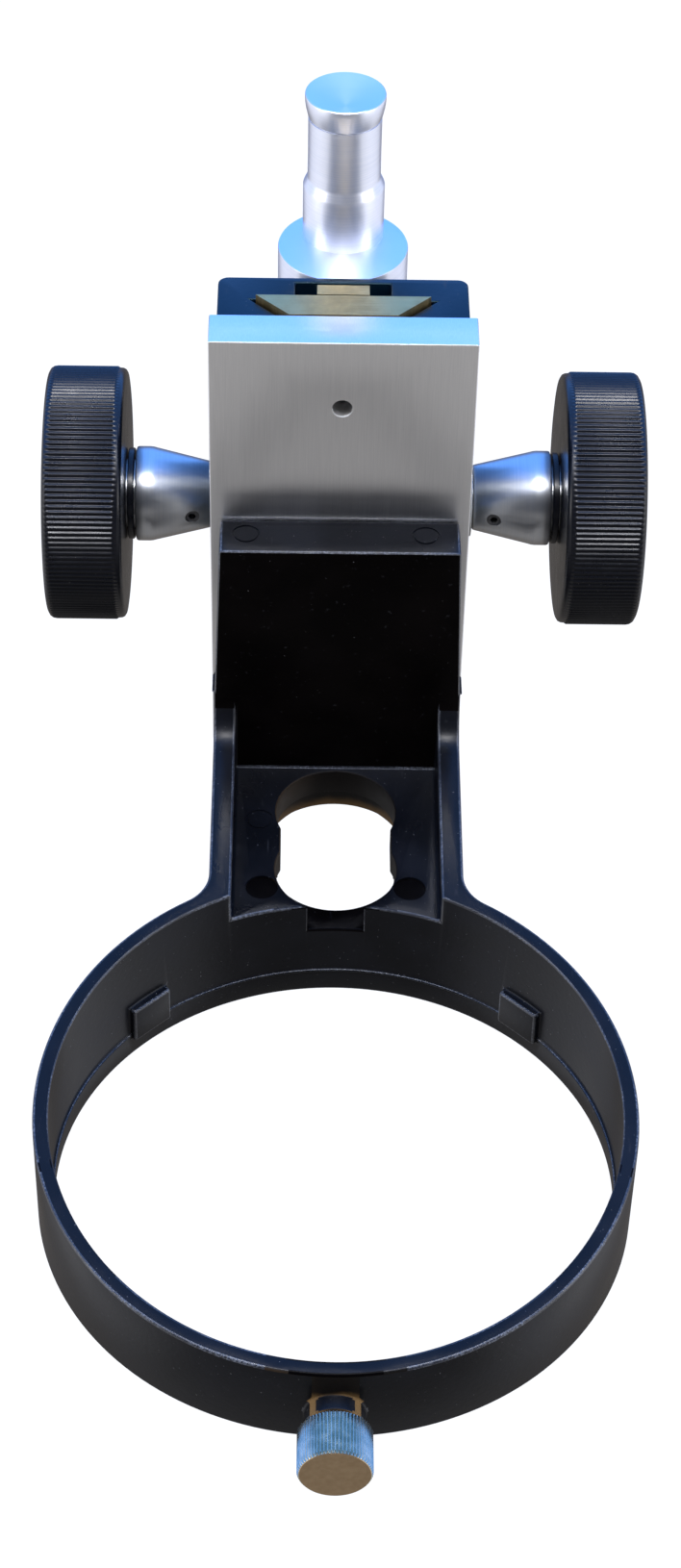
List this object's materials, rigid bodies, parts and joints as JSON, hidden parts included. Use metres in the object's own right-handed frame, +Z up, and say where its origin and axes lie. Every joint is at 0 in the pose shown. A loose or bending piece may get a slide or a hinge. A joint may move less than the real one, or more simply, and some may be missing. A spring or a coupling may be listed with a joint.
{
  "type": "microscope focusing mount",
  "caption": "Rack and pinion focusing mount for a stereo microscope: a post, a dovetail slide with two knobs, and an arm with a pod ring and clamp screw.",
  "frame": {"origin": "on the post's axis, at the top face of its collar", "axes": "+Z up along the post, -Y from the post towards the ring, +X along the knob shaft to the right as seen from the ring's side"},
  "size_m": [0.1199, 0.2246, 0.1505],
  "materials": {
    "black_paint": "semi-gloss black stoving paint",
    "turned_aluminium": "bright turned",
    "brushed_aluminium": "brushed up and down",
    "brass": "milled, dull",
    "bronze": "sintered bearing bronze",
    "nylon": "natural nylon",
    "satin_steel": "satin plated steel",
    "plated_steel": "bright plated steel",
    "dark_steel": "black oxide steel",
    "black_plastic": "gloss black, finely ribbed"
  },
  "bodies": {
    "housing": {"focus_housing": "black_paint", "mounting_post": "turned_aluminium", "post_screw": "dark_steel", "pinion_bushing_left": "bronze", "pinion_bushing_right": "bronze", "friction_washer_left": "nylon", "friction_washer_right": "nylon", "friction_plug_upper": "nylon", "friction_plug_lower": "nylon", "friction_screw_upper": "dark_steel", "friction_screw_lower": "dark_steel"},
    "pinion": {"pinion_shaft": "satin_steel", "pinion_gear": "satin_steel", "hub_left": "satin_steel", "hub_right": "satin_steel", "hub_set_screw_left": "dark_steel", "hub_set_screw_right": "dark_steel", "knob_spacer_left": "dark_steel", "knob_spacer_right": "dark_steel", "knob_left": "black_plastic", "knob_right": "black_plastic"},
    "carriage": {"carriage_plate": "brushed_aluminium", "dovetail_slide": "brass", "rack": "brass", "rack_screw_upper": "dark_steel", "rack_screw_lower": "dark_steel", "slide_screw_1": "dark_steel", "slide_screw_2": "dark_steel", "slide_screw_3": "dark_steel", "slide_screw_4": "dark_steel", "arm_screw_1": "dark_steel", "arm_screw_2": "dark_steel", "arm_screw_3": "dark_steel", "arm_screw_4": "dark_steel", "arm_ring": "black_paint"},
    "tip": {"clamp_tip": "brass"},
    "thumb": {"thumb_screw": "plated_steel"}
  },
  "joints": [
    {"name": "focus_slide", "type": "slide", "parent": "housing", "child": "carriage", "axis": [0, 0, 1], "range_m": [-0.025, 0.025]},
    {"name": "pinion_spin", "type": "hinge", "parent": "housing", "child": "pinion", "pos_m": [0.00093, -0.01367, -0.0548], "axis": [1, 0, 0], "range_deg": [-201, 201]},
    {"name": "clamp_slide", "type": "slide", "parent": "carriage", "child": "tip", "axis": [0, 1, 0], "range_m": [-0.005, 0.0004]},
    {"name": "thumb_spin", "type": "hinge", "parent": "tip", "child": "thumb", "pos_m": [0, -0.2, -0.1121], "axis": [0, 1, 0], "range_deg": [-1420, 115]}
  ],
  "couplings": [
    {"joint": "pinion_spin", "follows": "focus_slide", "rad_per_m": -139.98},
    {"joint": "thumb_spin", "follows": "clamp_slide", "rad_per_m": 4947.4}
  ]
}
